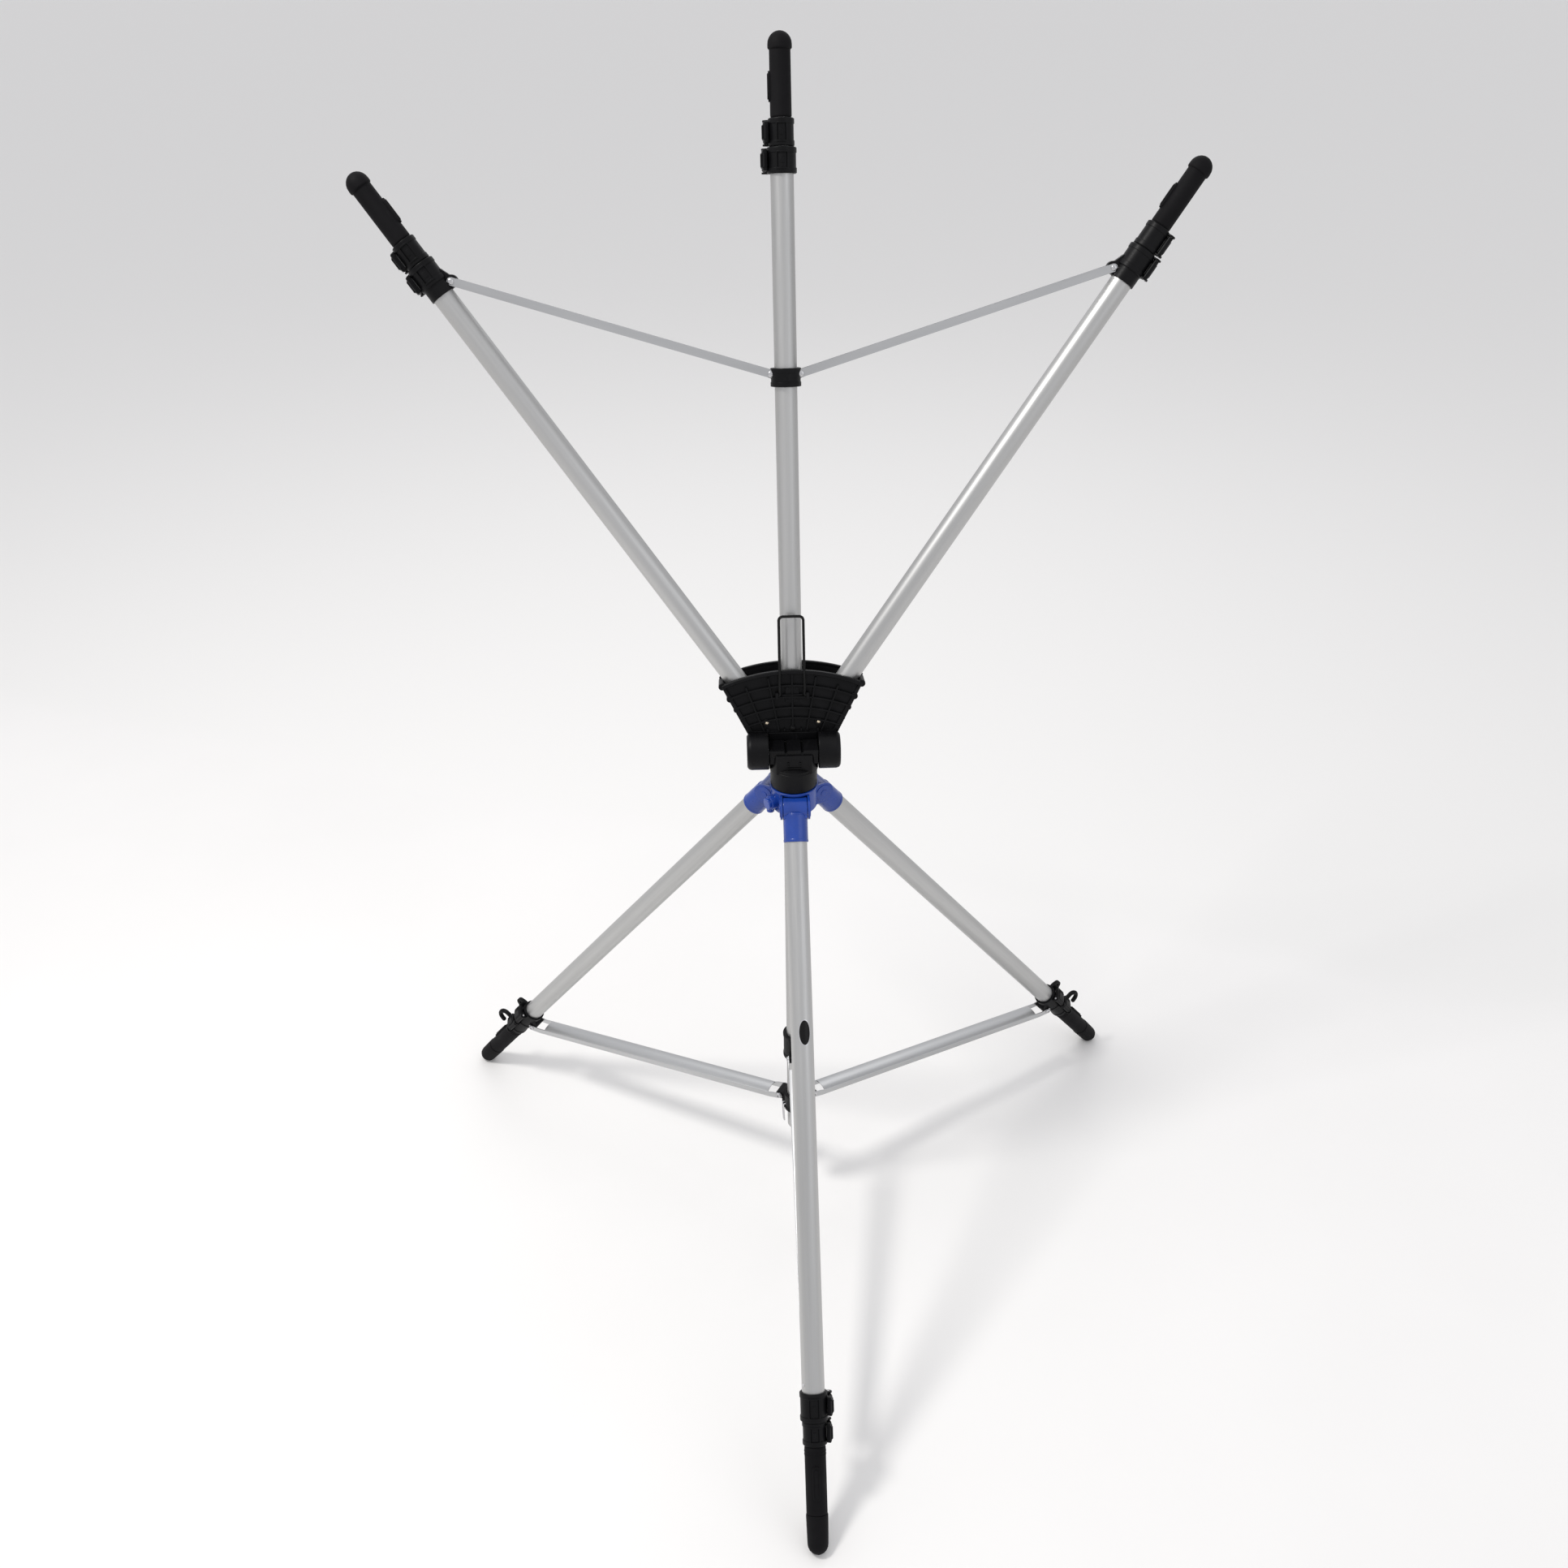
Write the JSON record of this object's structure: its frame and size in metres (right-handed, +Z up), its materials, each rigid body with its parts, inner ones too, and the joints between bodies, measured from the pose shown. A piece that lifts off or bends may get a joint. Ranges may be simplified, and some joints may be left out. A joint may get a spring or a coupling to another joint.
{
  "type": "folding music stand",
  "caption": "Folding stand: tilting head with telescopic upright arms on a blue hub, over a braced telescopic tripod.",
  "frame": {"origin": "centre of the stand's bounding box on the floor plane", "axes": "+Z up along the column, +X to the right, -Y is the front, where the single front leg points"},
  "size_m": [0.971, 0.8441, 1.4642],
  "materials": {
    "aluminium": "satin anodised",
    "black_plastic": "moulded, fine matte",
    "blue_plastic": "glossy moulded",
    "rubber": "matte soft grip",
    "steel": "zinc plated",
    "black_wire": "semi gloss black"
  },
  "bodies": {
    "base": {"hub": "blue_plastic", "hub_lock": "blue_plastic", "column": "aluminium", "column_plug": "black_plastic"},
    "neck": {"neck": "black_plastic", "tilt_pin": "steel"},
    "head": {"head_front": "black_plastic", "head_back": "black_plastic", "mid_arm_outer_tube": "aluminium", "mid_arm_outer_clamp": "black_plastic"},
    "bail": {"wire_bail": "black_wire"},
    "upper_collar": {"upper_collar": "black_plastic"},
    "lower_collar": {"lower_collar": "black_plastic", "wire_clip": "steel"},
    "slide_collar": {"slide_collar": "black_plastic"},
    "left_arm": {"left_arm_outer_tube": "aluminium", "left_arm_outer_clamp": "black_plastic"},
    "left_strut": {"left_strut": "aluminium"},
    "left_arm_mid": {"left_arm_mid_section": "black_plastic"},
    "left_arm_tip": {"left_arm_tip_section": "rubber"},
    "left_arm_outer_lever_body": {"left_arm_outer_lever": "black_plastic"},
    "left_arm_inner_lever_body": {"left_arm_inner_lever": "black_plastic"},
    "mid_arm_mid": {"mid_arm_mid_section": "black_plastic"},
    "mid_arm_tip": {"mid_arm_tip_section": "rubber"},
    "mid_arm_outer_lever_body": {"mid_arm_outer_lever": "black_plastic"},
    "mid_arm_inner_lever_body": {"mid_arm_inner_lever": "black_plastic"},
    "right_arm": {"right_arm_outer_tube": "aluminium", "right_arm_outer_clamp": "black_plastic"},
    "right_strut": {"right_strut": "aluminium"},
    "right_arm_mid": {"right_arm_mid_section": "black_plastic"},
    "right_arm_tip": {"right_arm_tip_section": "rubber"},
    "right_arm_outer_lever_body": {"right_arm_outer_lever": "black_plastic"},
    "right_arm_inner_lever_body": {"right_arm_inner_lever": "black_plastic"},
    "front_leg": {"front_leg_socket": "blue_plastic", "front_leg_outer_tube": "aluminium", "front_leg_outer_clamp": "black_plastic"},
    "front_brace": {"front_brace": "aluminium"},
    "front_leg_mid": {"front_leg_mid_section": "black_plastic"},
    "front_leg_foot": {"front_leg_foot_section": "rubber"},
    "front_leg_outer_lever_body": {"front_leg_outer_lever": "black_plastic"},
    "front_leg_inner_lever_body": {"front_leg_inner_lever": "black_plastic"},
    "rear_right_leg": {"rear_right_leg_socket": "blue_plastic", "rear_right_leg_outer_tube": "aluminium", "rear_right_leg_outer_clamp": "black_plastic"},
    "rear_right_brace": {"rear_right_brace": "aluminium"},
    "rear_right_leg_mid": {"rear_right_leg_mid_section": "black_plastic"},
    "rear_right_leg_foot": {"rear_right_leg_foot_section": "rubber"},
    "rear_right_leg_outer_lever_body": {"rear_right_leg_outer_lever": "black_plastic"},
    "rear_right_leg_inner_lever_body": {"rear_right_leg_inner_lever": "black_plastic"},
    "rear_left_leg": {"rear_left_leg_socket": "blue_plastic", "rear_left_leg_outer_tube": "aluminium", "rear_left_leg_outer_clamp": "black_plastic"},
    "rear_left_brace": {"rear_left_brace": "aluminium"},
    "rear_left_leg_mid": {"rear_left_leg_mid_section": "black_plastic"},
    "rear_left_leg_foot": {"rear_left_leg_foot_section": "rubber"},
    "rear_left_leg_outer_lever_body": {"rear_left_leg_outer_lever": "black_plastic"},
    "rear_left_leg_inner_lever_body": {"rear_left_leg_inner_lever": "black_plastic"}
  },
  "joints": [
    {"name": "neck_pan", "type": "hinge", "parent": "base", "child": "neck", "pos_m": [0, 0.13671, 0.7], "axis": [0, 0, 1], "continuous": true},
    {"name": "head_tilt", "type": "hinge", "parent": "neck", "child": "head", "pos_m": [0, 0.13671, 0.728], "axis": [1, 0, 0], "range_deg": [-28, 15]},
    {"name": "bail_swing", "type": "hinge", "parent": "head", "child": "bail", "pos_m": [0, 0.15973, 0.7891], "axis": [1, 0, 0], "range_deg": [0, 110]},
    {"name": "left_arm_fold", "type": "hinge", "parent": "head", "child": "left_arm", "pos_m": [-0.0303, 0.16917, 0.75213], "axis": [0, 0.965, -0.2622], "range_deg": [0, 31.5]},
    {"name": "left_strut_fold", "type": "hinge", "parent": "left_arm", "child": "left_strut", "pos_m": [-0.35777, 0.29981, 1.23295], "axis": [0, 0.965, -0.2622], "range_deg": [0, 36.41]},
    {"name": "left_arm_extend", "type": "slide", "parent": "left_arm", "child": "left_arm_mid", "axis": [-0.5721, 0.215, 0.7915], "range_m": [0, 0.45]},
    {"name": "left_arm_tip_extend", "type": "slide", "parent": "left_arm_mid", "child": "left_arm_tip", "axis": [-0.5721, 0.215, 0.7915], "range_m": [0, 0.45]},
    {"name": "left_arm_outer_lever_flip", "type": "hinge", "parent": "left_arm", "child": "left_arm_outer_lever_body", "pos_m": [-0.39692, 0.3079, 1.22785], "axis": [0.5721, -0.215, -0.7915], "range_deg": [0, 100]},
    {"name": "left_arm_inner_lever_flip", "type": "hinge", "parent": "left_arm_mid", "child": "left_arm_inner_lever_body", "pos_m": [-0.41171, 0.3134, 1.2504], "axis": [0.5721, -0.215, -0.7915], "range_deg": [0, 100]},
    {"name": "mid_arm_extend", "type": "slide", "parent": "head", "child": "mid_arm_mid", "axis": [0, 0.2622, 0.965], "range_m": [0, 0.45]},
    {"name": "mid_arm_tip_extend", "type": "slide", "parent": "mid_arm_mid", "child": "mid_arm_tip", "axis": [0, 0.2622, 0.965], "range_m": [0, 0.45]},
    {"name": "mid_arm_outer_lever_flip", "type": "hinge", "parent": "head", "child": "mid_arm_outer_lever_body", "pos_m": [-0.01722, 0.33862, 1.3409], "axis": [0, -0.2622, -0.965], "range_deg": [0, 100]},
    {"name": "mid_arm_inner_lever_flip", "type": "hinge", "parent": "mid_arm_mid", "child": "mid_arm_inner_lever_body", "pos_m": [-0.01607, 0.34524, 1.3676], "axis": [0, -0.2622, -0.965], "range_deg": [0, 100]},
    {"name": "right_arm_fold", "type": "hinge", "parent": "head", "child": "right_arm", "pos_m": [0.0303, 0.16917, 0.75213], "axis": [0, -0.965, 0.2622], "range_deg": [0, 31.5]},
    {"name": "right_strut_fold", "type": "hinge", "parent": "right_arm", "child": "right_strut", "pos_m": [0.35777, 0.29981, 1.23295], "axis": [0, -0.965, 0.2622], "range_deg": [0, 36.41]},
    {"name": "right_arm_extend", "type": "slide", "parent": "right_arm", "child": "right_arm_mid", "axis": [0.5721, 0.215, 0.7915], "range_m": [0, 0.45]},
    {"name": "right_arm_tip_extend", "type": "slide", "parent": "right_arm_mid", "child": "right_arm_tip", "axis": [0.5721, 0.215, 0.7915], "range_m": [0, 0.45]},
    {"name": "right_arm_outer_lever_flip", "type": "hinge", "parent": "right_arm", "child": "right_arm_outer_lever_body", "pos_m": [0.39692, 0.29024, 1.23264], "axis": [-0.5721, -0.215, -0.7915], "range_deg": [0, 100]},
    {"name": "right_arm_inner_lever_flip", "type": "hinge", "parent": "right_arm_mid", "child": "right_arm_inner_lever_body", "pos_m": [0.41171, 0.29691, 1.25488], "axis": [-0.5721, -0.215, -0.7915], "range_deg": [0, 100]},
    {"name": "slide_collar_travel", "type": "slide", "parent": "head", "child": "slide_collar", "axis": [0, -0.2622, -0.965], "range_m": [0, 0.15397]},
    {"name": "front_leg_fold", "type": "hinge", "parent": "base", "child": "front_leg", "pos_m": [0, 0.10571, 0.667], "axis": [1, 0, 0], "range_deg": [0, 30.2]},
    {"name": "front_brace_fold", "type": "hinge", "parent": "front_leg", "child": "front_brace", "pos_m": [0, -0.30711, 0.11686], "axis": [1, 0, 0], "range_deg": [0, 29.82]},
    {"name": "front_leg_extend", "type": "slide", "parent": "front_leg", "child": "front_leg_mid", "axis": [0, -0.6184, -0.7859], "range_m": [0, 0.45]},
    {"name": "front_leg_foot_extend", "type": "slide", "parent": "front_leg_mid", "child": "front_leg_foot", "axis": [0, -0.6184, -0.7859], "range_m": [0, 0.45]},
    {"name": "front_leg_outer_lever_flip", "type": "hinge", "parent": "front_leg", "child": "front_leg_outer_lever_body", "pos_m": [0.01731, -0.30923, 0.12483], "axis": [0, 0.6184, 0.7859], "range_deg": [0, 100]},
    {"name": "front_leg_inner_lever_flip", "type": "hinge", "parent": "front_leg_mid", "child": "front_leg_inner_lever_body", "pos_m": [0.01554, -0.32818, 0.10226], "axis": [0, 0.6184, 0.7859], "range_deg": [0, 100]},
    {"name": "rear_right_leg_fold", "type": "hinge", "parent": "base", "child": "rear_right_leg", "pos_m": [0.02685, 0.15221, 0.667], "axis": [-0.5, 0.866, 0], "range_deg": [0, 30.2]},
    {"name": "rear_right_brace_fold", "type": "hinge", "parent": "rear_right_leg", "child": "rear_right_brace", "pos_m": [0.38435, 0.35861, 0.11686], "axis": [-0.5, 0.866, 0], "range_deg": [0, 40.73]},
    {"name": "rear_right_leg_extend", "type": "slide", "parent": "rear_right_leg", "child": "rear_right_leg_mid", "axis": [0.5356, 0.3092, -0.7859], "range_m": [0, 0.45]},
    {"name": "rear_right_leg_foot_extend", "type": "slide", "parent": "rear_right_leg_mid", "child": "rear_right_leg_foot", "axis": [0.5356, 0.3092, -0.7859], "range_m": [0, 0.45]},
    {"name": "rear_right_leg_outer_lever_flip", "type": "hinge", "parent": "rear_right_leg", "child": "rear_right_leg_outer_lever_body", "pos_m": [0.4059, 0.34953, 0.13426], "axis": [0.5356, 0.3092, -0.7859], "range_deg": [0, 100]},
    {"name": "rear_right_leg_inner_lever_flip", "type": "hinge", "parent": "rear_right_leg_mid", "child": "rear_right_leg_inner_lever_body", "pos_m": [0.4203, 0.36004, 0.11074], "axis": [0.5356, 0.3092, -0.7859], "range_deg": [0, 100]},
    {"name": "rear_left_leg_fold", "type": "hinge", "parent": "base", "child": "rear_left_leg", "pos_m": [-0.02685, 0.15221, 0.667], "axis": [-0.5, -0.866, 0], "range_deg": [0, 30.2]},
    {"name": "rear_left_brace_fold", "type": "hinge", "parent": "rear_left_leg", "child": "rear_left_brace", "pos_m": [-0.38435, 0.35861, 0.11686], "axis": [-0.5, -0.866, 0], "range_deg": [0, 40.73]},
    {"name": "rear_left_leg_extend", "type": "slide", "parent": "rear_left_leg", "child": "rear_left_leg_mid", "axis": [-0.5356, 0.3092, -0.7859], "range_m": [0, 0.45]},
    {"name": "rear_left_leg_foot_extend", "type": "slide", "parent": "rear_left_leg_mid", "child": "rear_left_leg_foot", "axis": [-0.5356, 0.3092, -0.7859], "range_m": [0, 0.45]},
    {"name": "rear_left_leg_outer_lever_flip", "type": "hinge", "parent": "rear_left_leg", "child": "rear_left_leg_outer_lever_body", "pos_m": [-0.4059, 0.34953, 0.13426], "axis": [0.5356, -0.3092, 0.7859], "range_deg": [0, 100]},
    {"name": "rear_left_leg_inner_lever_flip", "type": "hinge", "parent": "rear_left_leg_mid", "child": "rear_left_leg_inner_lever_body", "pos_m": [-0.4203, 0.36004, 0.11074], "axis": [0.5356, -0.3092, 0.7859], "range_deg": [0, 100]},
    {"name": "upper_collar_travel", "type": "slide", "parent": "base", "child": "upper_collar", "axis": [0, 0, 1], "range_m": [0, 0.16202]},
    {"name": "lower_collar_travel", "type": "slide", "parent": "base", "child": "lower_collar", "axis": [0, 0, 1], "range_m": [0, 0.23091]}
  ],
  "couplings": [
    {"joint": "left_strut_fold", "follows": "left_arm_fold", "ratio": 1.1557},
    {"joint": "right_strut_fold", "follows": "left_arm_fold", "ratio": 1.1557},
    {"joint": "right_arm_fold", "follows": "left_arm_fold", "ratio": 1},
    {"joint": "slide_collar_travel", "follows": "left_arm_fold", "m_per_rad": 0.28003},
    {"joint": "front_leg_fold", "follows": "rear_left_leg_fold", "ratio": 1},
    {"joint": "front_brace_fold", "follows": "rear_left_leg_fold", "ratio": 0.98699},
    {"joint": "rear_right_leg_fold", "follows": "rear_left_leg_fold", "ratio": 1},
    {"joint": "rear_right_brace_fold", "follows": "rear_left_leg_fold", "ratio": 1.3485},
    {"joint": "rear_left_brace_fold", "follows": "rear_left_leg_fold", "ratio": 1.3485},
    {"joint": "upper_collar_travel", "follows": "rear_left_leg_fold", "m_per_rad": 0.30736},
    {"joint": "lower_collar_travel", "follows": "rear_left_leg_fold", "m_per_rad": 0.43807}
  ]
}
